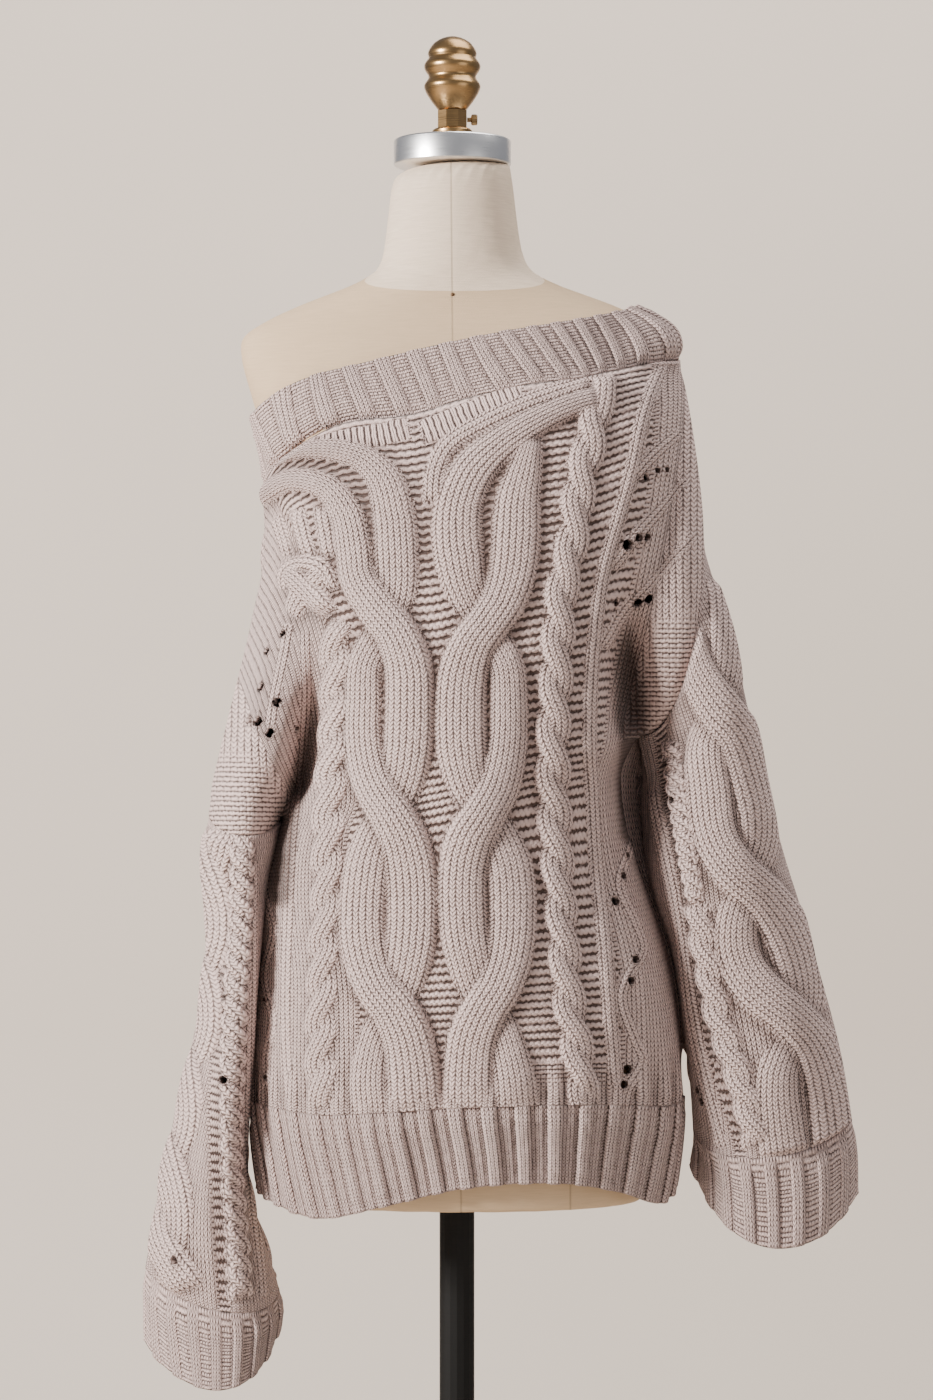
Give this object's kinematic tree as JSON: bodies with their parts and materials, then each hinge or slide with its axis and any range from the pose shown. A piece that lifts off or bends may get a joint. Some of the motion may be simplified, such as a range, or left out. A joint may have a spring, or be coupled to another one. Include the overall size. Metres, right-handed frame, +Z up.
{
  "type": "cable knit sweater on a dress form",
  "caption": "Oversized off-shoulder cable knit sweater with wide ribbed neck band, flared cuffs and lace leaf panels, worn by a limbless dress form on a pole stand.",
  "frame": {"origin": "centre of the base's underside, on the pole's axis", "axes": "+Z up, the front of the garment faces -Y, +X is the wearer's left"},
  "size_m": [0.6216, 0.33, 1.6117],
  "materials": {
    "wool": "matt chunky chenille yarn",
    "linen": "plain woven linen over a hard shell",
    "ring_metal": "brushed",
    "brass": "aged satin",
    "black_metal": "satin black paint"
  },
  "bodies": {
    "root": {"front": "wool", "back": "wool", "hem_rib_front": "wool", "hem_rib_back": "wool", "sleeve_left_front": "wool", "sleeve_left_back": "wool", "sleeve_right_front": "wool", "sleeve_right_back": "wool", "cuff_left": "wool", "cuff_right": "wool", "neck_band": "wool", "form_torso": "linen", "neck_ring": "ring_metal", "finial_flange": "brass", "finial_collar": "brass", "finial": "brass", "thumb_screw": "brass", "base": "black_metal", "pole_socket": "black_metal", "pole": "black_metal"}
  },
  "joints": []
}
